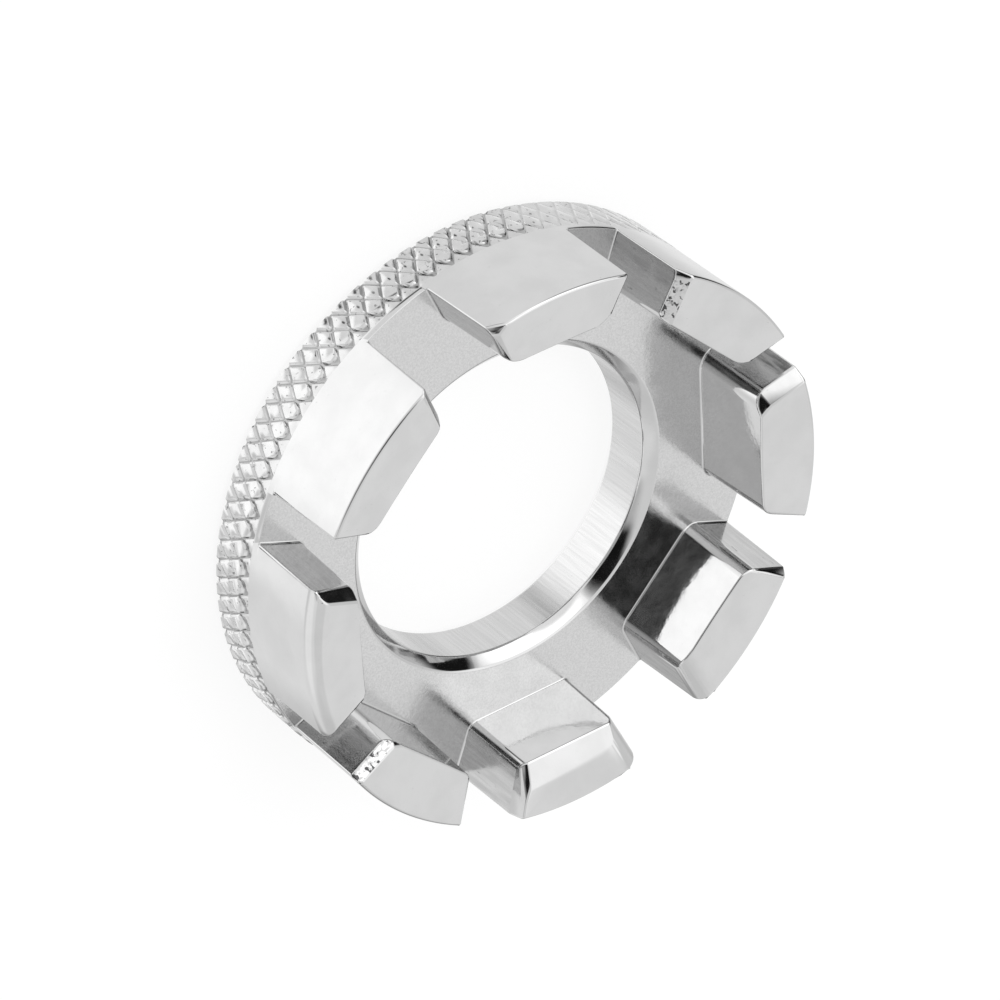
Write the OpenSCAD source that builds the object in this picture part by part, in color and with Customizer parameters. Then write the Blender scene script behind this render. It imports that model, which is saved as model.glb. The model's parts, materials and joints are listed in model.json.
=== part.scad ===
// Crown-type spoke wrench: a knurled ring with eight jaws, one forging in nickel-chrome plate.
// The slots between the jaws grip the square flats of bicycle spoke nipples of different gauges.
// Origin: centre of the flat back face. +Z is the ring's axis and points out of the slots' mouths.
// Slot 1 opens on +X. Slots and jaws are numbered counter-clockwise, looking down on the jaws.

/* [Ring] */
// diameter over the crests of the knurling, mm
knurl_d = 40; // [38:0.1:46]
// thickness of the ring under the jaws, mm
ring_t = 4.4; // [4.2:0.1:8]
// diameter of the central hole, mm
bore_d = 22.6; // [12:0.1:26]
// chamfer of the hole at the jaw side, mm
bore_chamfer = 0.75; // [0.2:0.05:1.5]
// chamfer of the hole at the back, mm
back_chamfer = 0.3; // [0.1:0.05:1]
// chamfer round the back face's outer edge, mm
back_edge = 0.3; // [0.1:0.05:0.35]

/* [Jaws] */
// height of the jaws above the slot floors, at their outer edge, mm
jaw_h = 6.8; // [4:0.1:10]
// step from the crests of the knurling in to the jaws' outer faces, mm
jaw_step = 0.15; // [0.05:0.05:0.3]
// thickness of a jaw at its foot, from the outer face to the middle of the flat inner face, mm
jaw_t = 4.15; // [3:0.05:4.8]
// lean of the jaws' inner faces, degrees
inner_draft = 1.2; // [0:0.1:4]
// fall of the jaws' end faces from their outer edge to the middle of their inner edge, mm
end_fall = 0.6; // [0:0.1:1.2]
// chamfer of the jaws' outer end edge, mm
jaw_edge = 0.2; // [0.05:0.05:0.6]

/* [Slots] */
// width of slot 1 at its floor, mm
slot_1 = 5.0; // [2.5:0.05:6.5]
// width of slot 2 at its floor, mm
slot_2 = 3.5; // [2.5:0.05:6.5]
// width of slot 3 at its floor, mm
slot_3 = 3.7; // [2.5:0.05:6.5]
// width of slot 4 at its floor, mm
slot_4 = 4.4; // [2.5:0.05:6.5]
// width of slot 5 at its floor, mm
slot_5 = 5.1; // [2.5:0.05:6.5]
// width of slot 6 at its floor, mm
slot_6 = 3.6; // [2.5:0.05:6.5]
// width of slot 7 at its floor, mm
slot_7 = 3.1; // [2.5:0.05:6.5]
// width of slot 8 at its floor, mm
slot_8 = 4.2; // [2.5:0.05:6.5]
// lean of each slot wall, degrees
slot_draft = 1.6; // [0:0.1:4]
// lead-in chamfer at each slot's mouth, mm
lead_in = 0.8; // [0.2:0.1:1.4]

/* [Knurling] */
// diamonds round the ring
knurl_count = 90; // [60:1:120]
// depth of the grooves between the diamonds, mm
knurl_depth = 0.35; // [0.2:0.05:0.45]
// height of the plain strip between the back face and the knurling, mm
knurl_low = 0.4; // [0.4:0.05:0.8]
// height of the plain strip between the knurling and the slot floors, mm
knurl_high = 0.5; // [0.3:0.05:1]
// lean of the grooves from the ring's axis, degrees
knurl_lean = 30; // [25:1:40]
// thickness of the knurled band, mm
band_t = 0.7; // [0.6:0.05:1.2]

/* [Hidden] */
SLOTS = [slot_1, slot_2, slot_3, slot_4, slot_5, slot_6, slot_7, slot_8];
pitch_a = 360 / len(SLOTS);
cut = 1;
knurl_r = knurl_d / 2;
root_r = knurl_r - knurl_depth;
band_r = knurl_r - band_t;
jaw_r = knurl_r - jaw_step;
jaw_top = ring_t + jaw_h;
bore_r = bore_d / 2;
// distance from the axis to a jaw's inner face, at its foot and at its end
flat_in = jaw_r - jaw_t;
flat_end = flat_in + (jaw_h - end_fall) * tan(inner_draft);
// slope of the end faces, from their outer edge down to their inner edge
end_slope = atan(end_fall / (jaw_r - flat_end));
// radius that a jaw's blank reaches in to, for the flat inner face to be cut from
blank_in = flat_in - cut;
// half diamonds between the two plain strips, as many as fit at about the grooves' lean
knurl_top = ring_t - knurl_high;
knurl_rows = round((knurl_top - knurl_low) * tan(knurl_lean) / (PI * knurl_r / knurl_count));
knurl_half = (knurl_top - knurl_low) / knurl_rows;
// degrees that a jaw's blank runs past the middle of each slot, for the slots to cut off
blank_over = 2;
chrome = [0.80, 0.81, 0.83];
$fn = 180;

// The ring: flat back, chamfered bore, slot floors on top, and a seat round it for the knurling.
module ring() {
    color(chrome)
    rotate_extrude()
    polygon([
        [bore_r + back_chamfer, 0],
        [root_r - back_edge, 0],
        [root_r, back_edge],
        [root_r, knurl_low],
        [band_r, knurl_low],
        [band_r, knurl_top],
        [jaw_r, knurl_top],
        [jaw_r, ring_t],
        [bore_r + bore_chamfer, ring_t],
        [bore_r, ring_t - bore_chamfer],
        [bore_r, back_chamfer]
    ]);
}

// Radius of the knurled surface at corner i of row k: groove crossings and crests alternate, and the
// last row lies flush with the jaws' outer faces.
function knurl_at(k, i) =
    k == knurl_rows ? jaw_r :
    (k + i) % 2 == 0 ? root_r : knurl_r;

function on_circle(r, i, z) =
    let (a = 180 * i / knurl_count)
    [r * cos(a), r * sin(a), z];

// The knurled band: diamond pyramids between two crossing families of grooves.
module knurled_band() {
    n = 2 * knurl_count;
    outer = [
        for (k = [0 : knurl_rows], i = [0 : n - 1])
            on_circle(knurl_at(k, i), i, knurl_low + k * knurl_half)
    ];
    inner = [
        for (z = [knurl_low, knurl_top], i = [0 : n - 1])
            on_circle(band_r, i, z)
    ];
    low = n * (knurl_rows + 1);
    high = low + n;
    crown = n * knurl_rows;
    // the two triangles of each outer cell share the edge that lies along a groove
    skin = [
        for (k = [0 : knurl_rows - 1], i = [0 : n - 1])
            let (
                j = (i + 1) % n,
                a = k * n + i,
                b = k * n + j,
                c = (k + 1) * n + j,
                d = (k + 1) * n + i
            )
            each ((k + i) % 2 == 0 ? [[a, c, b], [a, d, c]] : [[a, d, b], [b, d, c]])
    ];
    rest = [
        for (i = [0 : n - 1])
            let (j = (i + 1) % n)
            each [
                [low + i, low + j, high + j],
                [low + i, high + j, high + i],
                [i, j, low + j],
                [i, low + j, low + i],
                [crown + i, high + j, crown + j],
                [crown + i, high + i, high + j]
            ]
    ];
    color(chrome)
    polyhedron(points = concat(outer, inner), faces = concat(skin, rest));
}

// Everything a slot takes out of the jaws: leaning walls from the floor up.
module slot_cut(width) {
    reach = jaw_h + cut;
    top_w = width + 2 * reach * tan(slot_draft);
    rotate([90, 0, 90])
    linear_extrude(height = jaw_r + cut)
    polygon([
        [-width / 2, ring_t - cut],
        [width / 2, ring_t - cut],
        [width / 2, ring_t],
        [top_w / 2, ring_t + reach],
        [-top_w / 2, ring_t + reach],
        [-width / 2, ring_t]
    ]);
}

// The lead-in at a slot's mouth, laid along the slope of the jaws' end faces.
module lead_in_cut(width) {
    mouth = width + 2 * (jaw_h - lead_in) * tan(slot_draft);
    reach = lead_in + cut;
    translate([jaw_r, 0, jaw_top])
    rotate([0, -end_slope, 0])
    translate([-2 * jaw_t, 0, 0])
    rotate([90, 0, 90])
    linear_extrude(height = 3 * jaw_t)
    polygon([
        [-mouth / 2, -lead_in],
        [mouth / 2, -lead_in],
        [mouth / 2 + reach, cut],
        [-mouth / 2 - reach, cut]
    ]);
}

// What is cut from inside a jaw to leave its flat, leaning inner face, square to +X.
module inner_cut() {
    translate([flat_in, 0, ring_t])
    rotate([0, inner_draft, 0])
    translate([-jaw_r, -jaw_r, -cut])
    cube([jaw_r, 2 * jaw_r, jaw_h + 2 * cut]);
}

// Jaw k stands between slot k and the next one round.
module jaw(k) {
    after = k % len(SLOTS);
    color(chrome)
    rotate([0, 0, (k - 1) * pitch_a])
    difference() {
        rotate([0, 0, -blank_over])
        rotate_extrude(angle = pitch_a + 2 * blank_over)
        polygon([
            [blank_in, ring_t],
            [jaw_r, ring_t],
            [jaw_r, jaw_top - jaw_edge],
            [jaw_r - jaw_edge, jaw_top - jaw_edge * tan(end_slope)],
            [blank_in, jaw_top - (jaw_r - blank_in) * tan(end_slope)]
        ]);
        rotate([0, 0, pitch_a / 2]) inner_cut();
        slot_cut(SLOTS[k - 1]);
        lead_in_cut(SLOTS[k - 1]);
        rotate([0, 0, pitch_a]) slot_cut(SLOTS[after]);
        rotate([0, 0, pitch_a]) lead_in_cut(SLOTS[after]);
    }
}

ring();
knurled_band();
jaw(1);  // jaw_1
jaw(2);  // jaw_2
jaw(3);  // jaw_3
jaw(4);  // jaw_4
jaw(5);  // jaw_5
jaw(6);  // jaw_6
jaw(7);  // jaw_7
jaw(8);  // jaw_8
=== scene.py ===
import json
from math import asin, atan2, cos, hypot, pi, radians, sin, tan

import bmesh
import bpy
from mathutils import Matrix, Vector, noise


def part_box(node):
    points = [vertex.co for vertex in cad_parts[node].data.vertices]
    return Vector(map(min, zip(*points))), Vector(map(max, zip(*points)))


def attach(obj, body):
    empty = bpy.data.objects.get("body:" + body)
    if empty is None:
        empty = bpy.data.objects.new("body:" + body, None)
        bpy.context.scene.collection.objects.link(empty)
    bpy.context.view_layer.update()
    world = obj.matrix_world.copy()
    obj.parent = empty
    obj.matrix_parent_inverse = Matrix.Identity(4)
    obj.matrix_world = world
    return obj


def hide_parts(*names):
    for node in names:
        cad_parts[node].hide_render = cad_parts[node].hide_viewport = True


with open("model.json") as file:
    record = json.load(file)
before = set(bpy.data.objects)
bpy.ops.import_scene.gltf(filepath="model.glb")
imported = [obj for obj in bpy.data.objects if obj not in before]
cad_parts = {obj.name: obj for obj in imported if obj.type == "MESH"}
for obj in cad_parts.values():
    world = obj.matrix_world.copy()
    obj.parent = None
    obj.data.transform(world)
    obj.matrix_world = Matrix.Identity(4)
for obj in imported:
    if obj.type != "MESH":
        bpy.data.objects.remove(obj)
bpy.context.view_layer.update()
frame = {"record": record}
mm = 0.001

# The camera
# A long lens looks down into the jaws from the side of slot 7, rolled so that the wrench's axis
# runs to the lower right of the picture.
camera_aim = Vector((-1.59, -0.46, 1.80)) * mm
camera_azimuth = radians(105.31)
camera_elevation = radians(42.52)
camera_roll = radians(127.63)
camera_distance = 326.2 * mm
focal_length = 180.06

camera_back = Vector((
    sin(camera_azimuth) * cos(camera_elevation),
    -cos(camera_azimuth) * cos(camera_elevation),
    sin(camera_elevation),
))
camera_data = bpy.data.cameras.new("camera")
camera_data.lens = focal_length
camera_data.sensor_width = 36
camera_data.clip_start = 10 * mm
camera_data.clip_end = 10
camera = bpy.data.objects.new("camera", camera_data)
bpy.context.collection.objects.link(camera)
camera.location = camera_aim + camera_back * camera_distance
camera.rotation_mode = "QUATERNION"
upright = (-camera_back).to_track_quat("-Z", "Y")
camera.rotation_quaternion = upright @ Matrix.Rotation(camera_roll, 3, "Z").to_quaternion()
bpy.context.scene.camera = camera


# The ring
# The body of the forging: a turned steel ring, bored through and chamfered, with a groove round
# it for the knurling and a blasted floor in the slots. The jaws stand on it in one piece.
ring_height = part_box("ring")[1].z
band_box_low, band_box_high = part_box("knurled_band")
knurl_radius = band_box_high.x
bore_radius = frame["record"]["mounts"][0]["dims"]["r_mm"] * mm
slot_widths = [width * mm for width in (5.0, 3.5, 3.7, 4.4, 5.1, 3.6, 3.1, 4.2)]
slots = len(slot_widths)
pitch = 2 * pi / slots
jaw_step = 0.15 * mm
jaw_radius = knurl_radius - jaw_step
band_thickness = 0.7 * mm
band_radius = knurl_radius - band_thickness
band_low = band_box_low.z
band_high = band_box_high.z
knurl_depth = 0.35 * mm
back_radius = knurl_radius - knurl_depth
back_edge = 0.3 * mm
bore_chamfer = 0.75 * mm
bore_back_chamfer = 0.3 * mm
edge_round = 0.1 * mm
bore_round = 0.12 * mm
foot_fillet = 0.13 * mm
floor_edge = 0.04 * mm
strips_per_jaw = 24

# radius, height and rounding of each corner of the ring's section
ring_corners = [
    (bore_radius + bore_back_chamfer, 0, edge_round),
    (back_radius - back_edge, 0, edge_round),
    (back_radius, back_edge, 0),
    (back_radius, band_low, 0),
    (band_radius, band_low, 0),
    (band_radius, band_high, 0),
    (jaw_radius, band_high, 0),
    (jaw_radius, ring_height, 0),
    (bore_radius + bore_chamfer, ring_height, bore_round),
    (bore_radius, ring_height - bore_chamfer, bore_round),
    (bore_radius, bore_back_chamfer, edge_round),
]

# what an outline's corner is bevelled by for a rounding of 1, and from which rounding more finely
bevel_per_rounding = 1.2
large_rounding = 0.5 * mm
# the turn between two faces from which the edge between them is drawn sharp
sharp_angle = radians(50)
# how close to a cut a corner is moved onto it, and how close two corners of the ring are merged
snap = 0.001 * mm
ring_weld = 0.002 * mm
# how far off a level or a wall something may be and still count as on it
level_slack = 0.01 * mm
wall_slack = 0.05 * mm


def section(corners, turn=0.0):
    """A closed outline in the plane through the axis, with rounded corners, turned to its place."""
    bm = bmesh.new()
    points = [bm.verts.new((radius, 0, z)) for radius, z, rounding in corners]
    bm.faces.new(points)
    for point, (radius, z, rounding) in zip(points, corners):
        if rounding:
            bmesh.ops.bevel(
                bm, geom=[point], offset=rounding * bevel_per_rounding, offset_type="OFFSET",
                segments=4 if rounding < large_rounding else 12,
                profile=0.5, affect="VERTICES", material=-1,
            )
    bmesh.ops.delete(bm, geom=bm.faces[:], context="FACES_ONLY")
    bmesh.ops.rotate(bm, verts=bm.verts, cent=(0, 0, 0), matrix=Matrix.Rotation(turn, 3, "Z"))
    return bm


def turned(bm, angle, steps):
    """Spins an outline about the wrench's axis and gives the mesh back in a fixed order.

    The spin's own order differs from run to run, and what is cut later would differ with it.
    """
    bmesh.ops.spin(
        bm, geom=bm.verts[:] + bm.edges[:], axis=(0, 0, 1), cent=(0, 0, 0), angle=angle,
        steps=steps, use_merge=angle >= 2 * pi,
    )
    slant = Vector((0.604, 0.22, 0.766))
    bm.verts.sort(key=lambda vertex: vertex.co.dot(slant))
    bm.faces.sort(key=lambda face: face.calc_center_median().dot(slant))
    bm.verts.index_update()
    ordered = bmesh.new()
    points = [ordered.verts.new(vertex.co) for vertex in bm.verts]
    for face in bm.faces:
        ordered.faces.new([points[vertex.index] for vertex in face.verts])
    bm.free()
    return ordered


def polar(point):
    """Radius and angle of a point about the wrench's axis."""
    return hypot(point.x, point.y), atan2(point.y, point.x) % (2 * pi)


def apart(first, second):
    """How far two angles lie apart."""
    return abs((first - second + pi) % (2 * pi) - pi)


def face_outwards(bm):
    """Points every face of a closed mesh outwards."""
    bmesh.ops.recalc_face_normals(bm, faces=bm.faces)
    if bm.calc_volume(signed=True) < 0:
        bmesh.ops.reverse_faces(bm, faces=bm.faces)


def made(name, bm, replaced, materials):
    """Finishes a piece at the origin from a bmesh, with its normals led by its larger faces."""
    face_outwards(bm)
    for face in bm.faces:
        face.smooth = True
    for edge in bm.edges:
        edge.smooth = edge.calc_face_angle(pi) < sharp_angle
    mesh = bpy.data.meshes.new(name)
    bm.to_mesh(mesh)
    bm.free()
    for material in materials:
        mesh.materials.append(material)
    piece = bpy.data.objects.new(name, mesh)
    bpy.context.collection.objects.link(piece)
    evening = piece.modifiers.new("evening", "WEIGHTED_NORMAL")
    evening.weight = 80
    evening.keep_sharp = True
    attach(piece, "root")
    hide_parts(replaced)


class Wire:
    """One output of a node. Python arithmetic on it adds the Math nodes."""

    def __init__(self, graph, socket):
        self.graph = graph
        self.socket = socket

    def math(self, operation, *others, swap=False):
        terms = [*others, self] if swap else [self, *others]
        return self.graph.add("ShaderNodeMath", {"operation": operation}, dict(enumerate(terms)))

    def __add__(self, other):
        return self.math("ADD", other)

    __radd__ = __add__

    def __sub__(self, other):
        return self.math("SUBTRACT", other)

    def __rsub__(self, other):
        return self.math("SUBTRACT", other, swap=True)

    def __mul__(self, other):
        return self.math("MULTIPLY", other)

    __rmul__ = __mul__


class Graph:
    """The nodes of one material or of the world, emptied first."""

    def __init__(self, owner):
        owner.use_nodes = True
        self.tree = owner.node_tree
        self.tree.nodes.clear()

    def add(self, kind, settings=None, sockets=None, output=0):
        """Adds a node, gives it its settings and then its sockets' values or links."""
        node = self.tree.nodes.new(kind)
        for name, value in (settings or {}).items():
            setattr(node, name, value)
        for name, value in (sockets or {}).items():
            if isinstance(value, Wire):
                self.tree.links.new(value.socket, node.inputs[name])
            else:
                node.inputs[name].default_value = value
        return Wire(self, node.outputs[output]) if node.outputs else node

    def ramp(self, value, start, end, low=0, high=1):
        """low before start, high past end, and a soft run between them."""
        return self.add(
            "ShaderNodeMapRange",
            {"interpolation_type": "SMOOTHSTEP"},
            {"Value": value, "From Min": start, "From Max": end, "To Min": low, "To Max": high},
        )

    def grain(self, size, stretch=(1, 1, 1), detail=2):
        """Noise on Object coordinates whose features are about size across, drawn out by stretch."""
        place = self.add("ShaderNodeTexCoord", output="Object")
        scale = [1 / (size * run) for run in stretch]
        place = self.add(
            "ShaderNodeMapping", {"vector_type": "POINT"}, {"Vector": place, "Scale": scale},
        )
        return self.add(
            "ShaderNodeTexNoise", sockets={"Vector": place, "Scale": 1, "Detail": detail}, output="Fac",
        )

    def mottle(self, low, high, size, stretch=(1, 1, 1), detail=2):
        """A value that wanders between low and high over the grain, which runs from 0.3 to 0.7."""
        return self.ramp(self.grain(size, stretch, detail), 0.3, 0.7, low, high)

    def spots(self, start, full, strength, size, stretch=(1, 1, 1), detail=2):
        """Spots that begin where the grain passes start, and reach their strength at full."""
        return self.ramp(self.grain(size, stretch, detail), start, full, 0, strength)


def grey(graph, tone):
    """The colour of an even tone."""
    return graph.add("ShaderNodeCombineColor", sockets={"Red": tone, "Green": tone, "Blue": tone})


stain_colour = (0.05, 0.05, 0.052, 1)


def plating(name, tone, roughness, relief, stains):
    """Plated steel. The last four are functions of its graph, and relief gives metres."""
    material = bpy.data.materials.new(name)
    graph = Graph(material)
    tone, roughness, relief, stains = tone(graph), roughness(graph), relief(graph), stains(graph)
    colour = graph.add(
        "ShaderNodeMix",
        {"data_type": "RGBA", "blend_type": "MIX"},
        {"Factor": stains, "A": grey(graph, tone), "B": stain_colour},
        output="Result",
    )
    bump = graph.add("ShaderNodeBump", sockets={"Height": relief, "Distance": 1, "Strength": 1})
    shader = graph.add(
        "ShaderNodeBsdfPrincipled",
        sockets={"Base Color": colour, "Metallic": 1, "Roughness": roughness, "Normal": bump},
    )
    graph.add("ShaderNodeOutputMaterial", sockets={"Surface": shader})
    return material


polished = plating(
    "bright plate",
    tone=lambda graph: graph.mottle(0.61, 0.65, 2.5 * mm, detail=3),
    roughness=lambda graph: graph.mottle(0.05, 0.11, 1.2 * mm, detail=4),
    relief=lambda graph: graph.grain(2.2 * mm) * 0.007 * mm + graph.grain(0.35 * mm) * 0.0004 * mm,
    stains=lambda graph: graph.spots(0.72, 0.80, 0.30, 0.16 * mm),
)
blasted = plating(
    "blasted floor",
    tone=lambda graph: graph.mottle(0.58, 0.66, 0.12 * mm, detail=4),
    roughness=lambda graph: graph.mottle(0.15, 0.22, 1.5 * mm, detail=3),
    relief=lambda graph: graph.grain(0.14 * mm) * 0.0013 * mm
    + graph.grain(0.32 * mm, detail=3) * 0.005 * mm
    + graph.grain(2.5 * mm) * 0.012 * mm,
    stains=lambda graph: graph.spots(0.68, 0.78, 0.35, 0.10 * mm),
)
reamed = plating(
    "reamed bore",
    tone=lambda graph: graph.mottle(0.60, 0.66, 0.2 * mm, (1, 1, 25)),
    roughness=lambda graph: graph.mottle(0.18, 0.28, 0.3 * mm, (1, 1, 20)),
    relief=lambda graph: graph.grain(0.3 * mm, (1, 1, 30)) * 0.004 * mm,
    stains=lambda graph: graph.spots(0.70, 0.80, 0.2, 0.2 * mm),
)
ring_finishes = [polished, blasted, reamed]

ring = turned(section(ring_corners), 2 * pi, slots * strips_per_jaw)


def free_stretch(slot):
    """Angles between which a slot's floor runs free at the ring's edge."""
    half = asin((slot_widths[slot] / 2 - foot_fillet) / jaw_radius)
    return slot * pitch - half, slot * pitch + half


# an edge is cut into the ring at both ends of each free stretch, through the faces this near it
cut_reach = 0.1
for slot in range(slots):
    for angle in free_stretch(slot):
        near = [
            face for face in ring.faces
            if apart(polar(face.calc_center_median())[1], angle) < cut_reach
        ]
        edges = {edge for face in near for edge in face.edges}
        bmesh.ops.bisect_plane(
            ring, geom=near + list(edges), dist=snap, plane_co=(0, 0, 0),
            plane_no=(-sin(angle), cos(angle), 0),
        )
bmesh.ops.remove_doubles(ring, verts=ring.verts, dist=ring_weld)


def on_free_edge(edge):
    """True for the ring's upper outer edge where a slot crosses it."""
    radius, angle = polar((edge.verts[0].co + edge.verts[1].co) / 2)
    slot = round(angle / pitch) % slots
    half = apart(*free_stretch(slot)) / 2
    level = min(vertex.co.z for vertex in edge.verts) > ring_height - level_slack
    return level and radius > jaw_radius - wall_slack and apart(angle, slot * pitch) < half


bmesh.ops.bevel(
    ring, geom=[edge for edge in ring.edges if on_free_edge(edge)], offset=floor_edge,
    offset_type="OFFSET", segments=1, profile=0.5, affect="EDGES", material=-1,
)
bmesh.ops.recalc_face_normals(ring, faces=ring.faces)
for face in ring.faces:
    radius, angle = polar(face.calc_center_median())
    faces_up = face.normal.z > 0.98
    stands_upright = abs(face.normal.z) < 0.2
    if faces_up:
        face.material_index = ring_finishes.index(blasted)
    elif stands_upright and radius < bore_radius + wall_slack:
        face.material_index = ring_finishes.index(reamed)
made("plated_ring", ring, "ring", ring_finishes)


# The knurling
# A diamond knurl rolled into the rim: flat pads with soft shoulders, parted by two sets of
# grooves. Its upper row ends in noses, with the face of the crown running down between them. It is
# worn nearly smooth beside slots 7 and 8.
diamonds = 90
rows = 3
knurl_turn = radians(-0.5)
groove_depth = 0.21 * mm
groove_radius = knurl_radius - groove_depth
half_width = pi * knurl_radius / diamonds
row_height = (band_high - band_low) / rows

# the steps in from a diamond's sides and up, as width and rise in mm
pad_steps = ((0.02, 0), (0.11, 0.13), (0.06, 0.05))
nose_steps = ((0.02, 0), (0.045, 0.15), (0.03, 0.03))
notch_steps = ((0.02, 0), (0.08, 0.04), (0.04, 0.02))
# an edge between two shoulders is one of a pad's corners where it climbs by this much
least_climb = 0.015 * mm
corner_round = 0.14 * mm
# the corners in this stretch under the band's top are the tips of the noses
nose_stretch = (0.8 * mm, 0.03 * mm)
nose_round = 0.65 * mm
seam_weld = 0.004 * mm

uneven_size = 0.9 * mm
uneven_height = 0.012 * mm
worn_middle = radians(-80)
worn_half = radians(56)
worn_fade = radians(14)
most_worn = 0.85


def diamond(bm, column, row):
    """A diamond of the unrolled knurl, two columns wide and two rows high about its centre."""
    corners = [(column - 1, row), (column, row - 1), (column + 1, row), (column, row + 1)]
    points = [bm.verts.new((x * half_width, 0, band_low + z * row_height)) for x, z in corners]
    return bm.faces.new(points)


knurl = bmesh.new()
pads = [diamond(knurl, 1, 0), diamond(knurl, 0, 1)]
noses = [diamond(knurl, 1, 2)]
notches = [diamond(knurl, 0, 3)]
bmesh.ops.remove_doubles(knurl, verts=knurl.verts, dist=snap)
shoulders = []
for faces, steps in (pads, pad_steps), (noses, nose_steps), (notches, notch_steps):
    for width, rise in steps:
        sides = bmesh.ops.inset_individual(
            knurl, faces=faces, thickness=width * mm, depth=rise * mm, use_even_offset=True,
        )["faces"]
        if rise:
            shoulders += sides
corner_edges = {
    edge for face in shoulders for edge in face.edges
    if len(edge.link_faces) == 2 and all(side in shoulders for side in edge.link_faces)
    and abs(edge.verts[0].co.y - edge.verts[1].co.y) > least_climb
}
nose_low, nose_high = (band_high - below for below in nose_stretch)
tips = {edge for edge in corner_edges if nose_low < edge.verts[0].co.z < nose_high}
for edges, rounding in (tips, nose_round), (corner_edges - tips, corner_round):
    bmesh.ops.bevel(
        knurl, geom=list(edges), offset=rounding, offset_type="OFFSET", segments=3,
        profile=0.5, affect="EDGES", material=-1,
    )
for height, upward in (band_low, -1), (band_high, 1):
    bmesh.ops.bisect_plane(
        knurl, geom=knurl.verts[:] + knurl.edges[:] + knurl.faces[:], dist=snap,
        plane_co=(0, 0, height), plane_no=(0, 0, upward), clear_outer=True,
    )

# the flat pattern is rolled up, repeated round the rim and joined
for vertex in knurl.verts:
    angle = vertex.co.x / knurl_radius + knurl_turn
    radius = groove_radius - vertex.co.y
    vertex.co = (radius * cos(angle), radius * sin(angle), vertex.co.z)
bmesh.ops.spin(
    knurl, geom=knurl.verts[:] + knurl.edges[:] + knurl.faces[:], axis=(0, 0, 1),
    cent=(0, 0, 0), angle=2 * pi * (diamonds - 1) / diamonds, steps=diamonds - 1,
    use_duplicate=True,
)
bmesh.ops.remove_doubles(knurl, verts=knurl.verts, dist=seam_weld)

# it is made slightly uneven between its edges, held inside the knurl's radius and worn down. The
# noise has a seed, because it differs from run to run otherwise.
noise.seed_set(1)
for vertex in knurl.verts:
    if band_low + wall_slack < vertex.co.z < band_high - wall_slack:
        vertex.co += noise.noise_vector(vertex.co / uneven_size) * uneven_height
    radius, angle = polar(vertex.co)
    worn = most_worn * min(max((worn_half - apart(angle, worn_middle)) / worn_fade, 0), 1)
    sunk = min(radius, knurl_radius - level_slack) * (1 - worn) + jaw_radius * worn
    vertex.co.xy *= sunk / radius

# both rims are drawn in to the bottom of the ring's groove, and a wall between them closes it
inner_loops = []
for height in band_low, band_high:
    rim = [
        edge for edge in knurl.edges
        if edge.is_boundary
        and all(abs(vertex.co.z - height) < level_slack for vertex in edge.verts)
    ]
    grown = bmesh.ops.extrude_edge_only(knurl, edges=rim)["geom"]
    for vertex in (part for part in grown if isinstance(part, bmesh.types.BMVert)):
        vertex.co.xy *= band_radius / vertex.co.xy.length
    inner_loops += [part for part in grown if isinstance(part, bmesh.types.BMEdge)]
inner_loops = [edge for edge in inner_loops if edge.is_boundary]
bmesh.ops.bridge_loops(knurl, edges=inner_loops)


def from_axis(graph):
    """Distance from the wrench's axis, in metres."""
    place = graph.add("ShaderNodeTexCoord", output="Object")
    flattened = graph.add(
        "ShaderNodeVectorMath", {"operation": "MULTIPLY"}, {0: place, 1: (1, 1, 0)},
    )
    return graph.add("ShaderNodeVectorMath", {"operation": "LENGTH"}, {0: flattened}, output=1)


# painted shade: the tone is darkened to this share at the bottom of the grooves, and is full from
# this depth up
groove_shade_share = 0.6
shade_free_depth = 0.14 * mm
# painted shade: the knurl's tone darkens towards the bottom of its grooves
knurled = plating(
    "knurled plate",
    tone=lambda graph: graph.mottle(0.58, 0.66, 1.0 * mm, detail=3)
    * graph.ramp(from_axis(graph), groove_radius, knurl_radius - shade_free_depth, groove_shade_share, 1),
    roughness=lambda graph: graph.mottle(0.08, 0.18, 0.5 * mm, detail=3),
    relief=lambda graph: graph.grain(0.5 * mm, detail=3) * 0.006 * mm,
    stains=lambda graph: graph.spots(0.64, 0.70, 0.6, 0.28 * mm),
)
made("plated_knurling", knurl, "knurled_band", [knurled])


# The jaws
# Eight blocks left between the slots that are milled across the crown. Each has flat walls and a
# flat inner face with a little draft, and a falling end. The edges were eased by hand before
# plating, so corners and lead-ins differ from jaw to jaw.
jaw_height = 6.8 * mm
jaw_thickness = 4.15 * mm
end_fall = 0.6 * mm
slot_lean = tan(radians(1.6))
inner_lean = tan(radians(1.2))
inner_flat = jaw_radius - jaw_thickness
end_slope = end_fall / (jaw_radius - inner_flat - (jaw_height - end_fall) * inner_lean)
# a blank reaches in past the inner face by this much, for the face to be cut from it
inner_waste = 1 * mm
blank_radius = inner_flat - inner_waste
# corners this close are merged, and then each edge that turns by more than the angle is rounded
corner_weld = 0.012 * mm
crisp_angle = radians(27)
edge_break = 0.13 * mm

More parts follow.
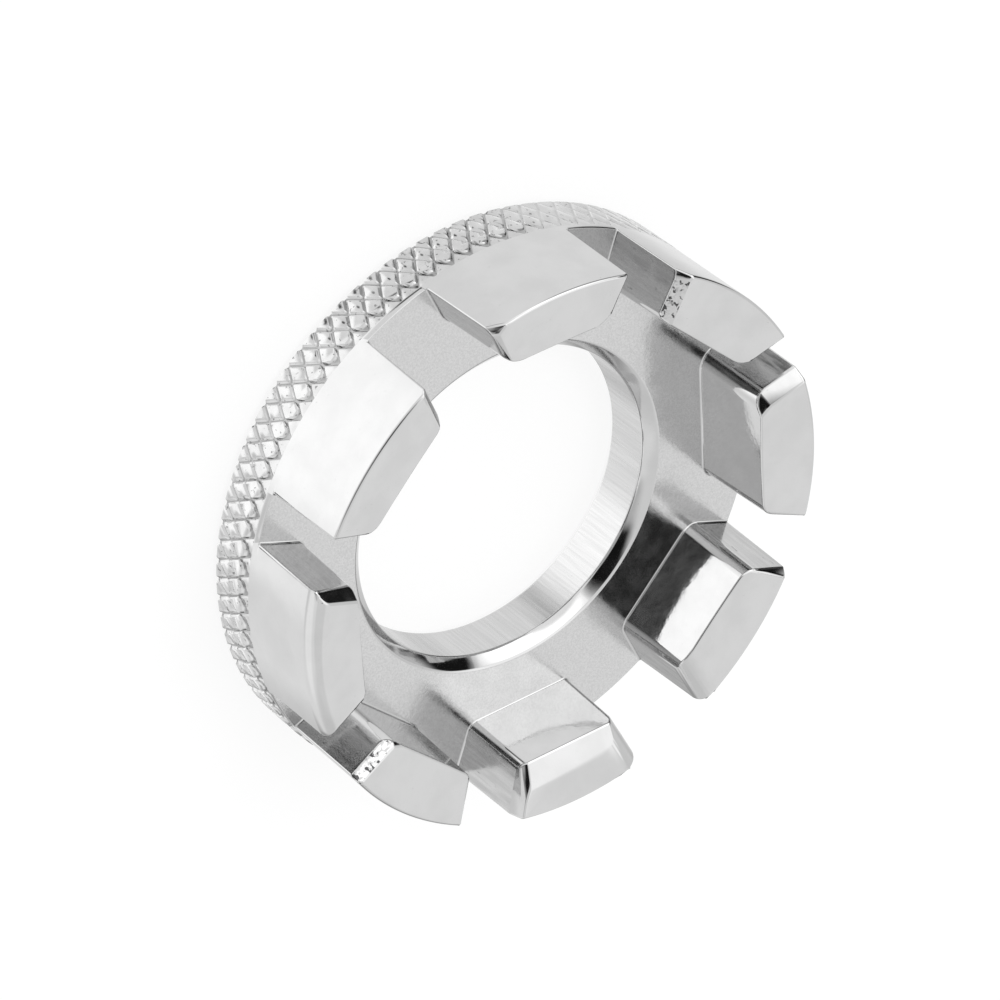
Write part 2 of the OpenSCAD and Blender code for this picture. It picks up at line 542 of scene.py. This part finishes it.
drawn = plating(
    "drawn wall",
    tone=lambda graph: graph.mottle(0.58, 0.67, 0.3 * mm, (1, 1, 10), detail=3),
    roughness=lambda graph: graph.mottle(0.08, 0.20, 0.3 * mm, (1, 1, 10)),
    relief=lambda graph: graph.grain(0.4 * mm, (1, 1, 12)) * 0.0016 * mm
    + graph.grain(1.5 * mm) * 0.007 * mm,
    stains=lambda graph: graph.spots(0.66, 0.76, 0.4, 0.3 * mm, (1, 1, 3), detail=3),
)
beaded = plating(
    "beaded lead-in",
    tone=lambda graph: graph.mottle(0.60, 0.66, 0.3 * mm),
    roughness=lambda graph: graph.mottle(0.05, 0.12, 0.4 * mm),
    relief=lambda graph: graph.grain(0.40 * mm, detail=1) * 0.035 * mm,
    stains=lambda graph: graph.spots(0.54, 0.61, 0.95, 0.36 * mm),
)
forged = plating(
    "plate over the forged face",
    tone=lambda graph: graph.mottle(0.61, 0.65, 2.0 * mm, detail=3),
    roughness=lambda graph: graph.mottle(0.06, 0.12, 1.2 * mm, detail=4),
    relief=lambda graph: graph.grain(2.2 * mm) * 0.007 * mm
    + graph.grain(0.45 * mm, detail=3) * 0.005 * mm,
    stains=lambda graph: graph.spots(0.72, 0.80, 0.30, 0.16 * mm),
)
jaw_finishes = [polished, drawn, beaded, forged]

# For each jaw, in mm: rounding of the end's outer and inner edge, then for its first and its last
# wall the rounding of the inner corner, the size of the lead-in, the cuts that make it and its
# finish. One cut makes it flat, more round it, and none leave the edge whole.
eased_edges = [
    (0.20, 0, (1.4, 0.35, 1, polished), (1.4, 0.15, 1, polished)),
    (1.00, 0, (0.7, 0.60, 1, polished), (1.3, 0.80, 6, polished)),
    (0.25, 0, (1.1, 0.60, 1, beaded), (0.9, 0.15, 1, polished)),
    (0.20, 2.2, (0.9, 0, 0, polished), (0.6, 1.70, 8, polished)),
    (0.20, 0, (1.1, 1.15, 8, polished), (1.3, 0, 0, polished)),
    (0.20, 0, (1.3, 0.15, 1, polished), (1.5, 0.85, 1, polished)),
    (0.20, 0, (1.8, 0.15, 1, polished), (0.7, 0.65, 1, beaded)),
    (0.20, 0, (2.0, 0.15, 1, polished), (2.0, 0.30, 1, polished)),
]
# a rounded inner end edge has this many cuts, and starts this far round from the inner face
inner_cuts = 6
inner_start = 0.72

# Small flats ground off the corners that stand out farthest: jaw, the azimuth and elevation that
# the flat faces, in degrees, and its depth in mm.
flats = [
    (2, -57, 46, 0.14),
    (3, -50, 48, 0.15),
    (4, 41, 24, 0.39),
    (4, 25, 43, 0.14),
    (5, -47, 47, 0.36),
    (6, 27, 43, 0.20),
    (7, 27, 43, 0.20),
    (8, 27, 43, 0.36),
]


def towards(azimuth, elevation=0.0):
    """The unit vector at two angles in radians."""
    level = cos(elevation)
    return Vector((level * cos(azimuth), level * sin(azimuth), sin(elevation)))


def meeting(*planes):
    """The point where three planes meet, each given as a point and a normal."""
    normals = Matrix([normal for point, normal in planes])
    return normals.inverted() @ Vector([normal.dot(point) for point, normal in planes])


def cut(bm, point, normal, finish=polished):
    """Cuts off what lies on the normal's side of a plane and closes the cut with a finish."""
    result = bmesh.ops.bisect_plane(
        bm, geom=bm.verts[:] + bm.edges[:] + bm.faces[:], dist=snap, plane_co=point,
        plane_no=normal, clear_outer=True,
    )["geom_cut"]
    rim = [part for part in result if isinstance(part, bmesh.types.BMEdge)]
    if rim:
        for face in bmesh.ops.edgeloop_fill(bm, edges=rim)["faces"]:
            face.material_index = jaw_finishes.index(finish)


def ease(bm, first, second, size, cuts, finish=polished, start=0.0):
    """Takes the edge off between two planes, flat with one cut or rounded with more."""
    (point_a, normal_a), (point_b, normal_b) = first, second
    centre = meeting(
        (point_a - normal_a * size, normal_a),
        (point_b - normal_b * size, normal_b),
        (point_a, normal_a.cross(normal_b)),
    )
    reach = size if cuts > 1 else size * cos(pi / 4)
    for step in range(1, cuts + 1):
        facing = normal_a.slerp(normal_b, start + (1 - start) * step / (cuts + 1))
        cut(bm, centre + facing * reach, facing, finish)


def corner_cuts(rounding):
    """Cuts that round an inner corner: one for each 0.2 mm of its rounding in mm, from 3 to 7."""
    return min(max(round(rounding / 0.2), 3), 7)


def wall(slot, side):
    """A slot's wall as a point at its floor and a normal."""
    across = towards(slot * pitch + pi / 2) * side
    point = across * slot_widths[slot % slots] / 2 + Vector((0, 0, ring_height))
    return point, (-across + Vector((0, 0, slot_lean))).normalized()


def inner_face(angle):
    """The flat inner face of the jaw whose middle is at an angle."""
    point = towards(angle) * inner_flat + Vector((0, 0, ring_height))
    return point, (Vector((0, 0, inner_lean)) - towards(angle)).normalized()


def end_face(angle):
    """The plane that touches the falling end of a jaw along an angle."""
    point = towards(angle) * jaw_radius + Vector((0, 0, ring_height + jaw_height))
    return point, (Vector((0, 0, 1)) - towards(angle) * end_slope).normalized()


def flare(bm):
    """Draws the foot of a jaw out into the fillet that runs into the ring's floor."""
    start_of = bm.verts.layers.float_vector.new("start")
    way_of = bm.verts.layers.float_vector.new("way")
    soles = [face for face in bm.faces if face.normal.z < -0.99]
    foot = bmesh.ops.dissolve_faces(bm, faces=soles, use_verts=False)["region"][0]
    for vertex in foot.verts:
        sides = [face.normal for face in vertex.link_faces if face is not foot]
        way = sum(sides, Vector())
        way.z = 0
        way.normalize()
        radial = towards(polar(vertex.co)[1])
        way -= radial * max(way.dot(radial), 0)
        vertex[start_of] = vertex.co
        vertex[way_of] = way
    steps = 4
    for step in range(1, steps + 1):
        angle = step / steps * pi / 2
        grown = bmesh.ops.extrude_face_region(bm, geom=[foot])["geom"]
        bmesh.ops.delete(bm, geom=[foot], context="FACES_ONLY")
        foot = next(part for part in grown if isinstance(part, bmesh.types.BMFace))
        for vertex in foot.verts:
            out = vertex[way_of] * foot_fillet * (1 - cos(angle))
            vertex.co = vertex[start_of] + out - Vector((0, 0, foot_fillet * sin(angle)))


def jaw(index):
    """One jaw: a turned blank between two slots, cut to its flat faces, eased and given its foot."""
    outer_round, inner_round, first_wall, last_wall = eased_edges[index]
    foot = ring_height + foot_fillet
    top = ring_height + jaw_height
    blank_corners = [
        (blank_radius, foot, 0),
        (jaw_radius, foot, 0),
        (jaw_radius, top, outer_round * mm),
        (blank_radius, top - (jaw_radius - blank_radius) * end_slope, 0),
    ]
    bm = turned(section(blank_corners, index * pitch), pitch, strips_per_jaw)
    middle = (index + 0.5) * pitch
    walls = [
        (index, wall(index, 1), *first_wall),
        (index + 1, wall(index + 1, -1), *last_wall),
    ]
    for slot, plane, corner, lead_in, cuts, finish in walls:
        cut(bm, *plane, finish=drawn)
    face_outwards(bm)
    cut(bm, *inner_face(middle), finish=forged)
    if inner_round:
        ease(
            bm, inner_face(middle), end_face(middle), inner_round * mm, inner_cuts,
            start=inner_start,
        )
    for slot, plane, corner, lead_in, cuts, finish in walls:
        ease(bm, plane, inner_face(middle), corner * mm, corner_cuts(corner))
    for slot, plane, corner, lead_in, cuts, finish in walls:
        ease(bm, plane, end_face(slot * pitch), lead_in * mm, cuts, finish)
    for number, azimuth, elevation, depth in flats:
        if number == index + 1:
            facing = towards(radians(azimuth), radians(elevation))
            farthest = max(vertex.co.dot(facing) for vertex in bm.verts)
            cut(bm, facing * (farthest - depth * mm), facing)
    bmesh.ops.remove_doubles(bm, verts=bm.verts, dist=corner_weld)
    face_outwards(bm)
    crisp = [
        edge for edge in bm.edges
        if edge.is_manifold and edge.calc_face_angle() > crisp_angle
        and max(vertex.co.z for vertex in edge.verts) > foot + level_slack
    ]
    bmesh.ops.bevel(
        bm, geom=crisp, offset=edge_break, offset_type="OFFSET", segments=3, profile=0.5,
        affect="EDGES", clamp_overlap=False, material=-1,
    )
    face_outwards(bm)
    flare(bm)
    return bm


for index in range(slots):
    name = "jaw_%d" % (index + 1)
    made("plated_" + name, jaw(index), name, jaw_finishes)


# The studio
# A white surround with softboxes, grey boards and black flags in it, each a round patch with a
# soft edge. The camera sees only the white, and the metal mirrors all of it.

# For each patch: azimuth, elevation, radius of its even middle and width of its soft edge in
# degrees, and its level, where the surround is 1. A later patch stands in front of an earlier one.
boards = [
    (42, -56, 23, 21, 1.50),
    (-37, 29, 24, 17, 1.90),
    (-162, -59, 28, 12, 1.26),
    (38, 43, 18, 13, 0.01),
    (-100, 20, 15, 8, 0.01),
    (-18, 22, 21, 5, 1.12),
    (145, 22, 17, 18, 0.82),
    (160, -17, 18, 16, 0.43),
    (-23, -35, 4, 6, 0.08),
    (78, -24, 8, 19, 0.85),
    (-97, 66, 15, 13, 1.35),
    (36, 19, 9, 12, 0.52),
    (-129, 24, 16, 10, 0.85),
    (-166, -30, 14, 15, 0.85),
    (67, 35, 7, 10, 0.61),
    (104, 65, 26, 10, 0.88),
    (-53, -57, 15, 16, 1.02),
    (-124, -22, 13, 18, 0.71),
    (-65, -10, 14, 10, 0.45),
    (-96, -9, 14, 8, 0.06),
    (92, -4, 14, 14, 1.15),
]

studio = bpy.data.worlds.new("studio")
bpy.context.scene.world = studio
surround = Graph(studio)
# in a world this output is the direction looked in
direction = surround.add("ShaderNodeTexCoord", output="Generated")
level = 1.0
for azimuth, elevation, middle, edge, brightness in boards:
    centre = towards(radians(azimuth), radians(elevation))
    facing = surround.add(
        "ShaderNodeVectorMath", {"operation": "DOT_PRODUCT"}, {0: direction, 1: centre}, output=1,
    )
    within = surround.ramp(facing, cos(radians(middle + edge)), cos(radians(middle)))
    level = within * brightness + (1 - within) * level
seen = surround.add("ShaderNodeLightPath", output="Is Camera Ray")
shown = seen + (1 - seen) * level
glow = surround.add("ShaderNodeBackground", sockets={"Color": (1, 1, 1, 1), "Strength": shown})
surround.add("ShaderNodeOutputWorld", sockets={"Surface": glow})


# The floor
# A white sheet just under the wrench. It is white to the camera apart from a faint shadow, can't
# be seen from below, and leaves the metal to mirror the surround.
sheet_reach = 1.5
sheet_gap = 0.02 * mm
# the sheet's own light and what it throws back of the surround's add up to white
sheet_glow = 0.82
sheet_grey = 0.22
sheet = bmesh.new()
bmesh.ops.create_grid(sheet, x_segments=1, y_segments=1, size=sheet_reach)
bmesh.ops.translate(sheet, verts=sheet.verts, vec=(0, 0, -sheet_gap))
sheet_mesh = bpy.data.meshes.new("floor")
sheet.to_mesh(sheet_mesh)
sheet.free()
paper = bpy.data.materials.new("white sheet")
graph = Graph(paper)
matt = graph.add("ShaderNodeBsdfDiffuse", sockets={"Color": (sheet_grey, sheet_grey, sheet_grey, 1)})
white = graph.add("ShaderNodeEmission", sockets={"Color": (1, 1, 1, 1), "Strength": sheet_glow})
lit = graph.add("ShaderNodeAddShader", sockets={0: matt, 1: white})
clear = graph.add("ShaderNodeBsdfTransparent")
below = graph.add("ShaderNodeNewGeometry", output="Backfacing")
top_only = graph.add("ShaderNodeMixShader", sockets={0: below, 1: lit, 2: clear})
graph.add("ShaderNodeOutputMaterial", sockets={"Surface": top_only})
sheet_mesh.materials.append(paper)
floor = bpy.data.objects.new("floor", sheet_mesh)
bpy.context.collection.objects.link(floor)
floor.visible_glossy = False
floor.visible_diffuse = False
floor.visible_shadow = False

bpy.context.scene.view_settings.view_transform = "Standard"
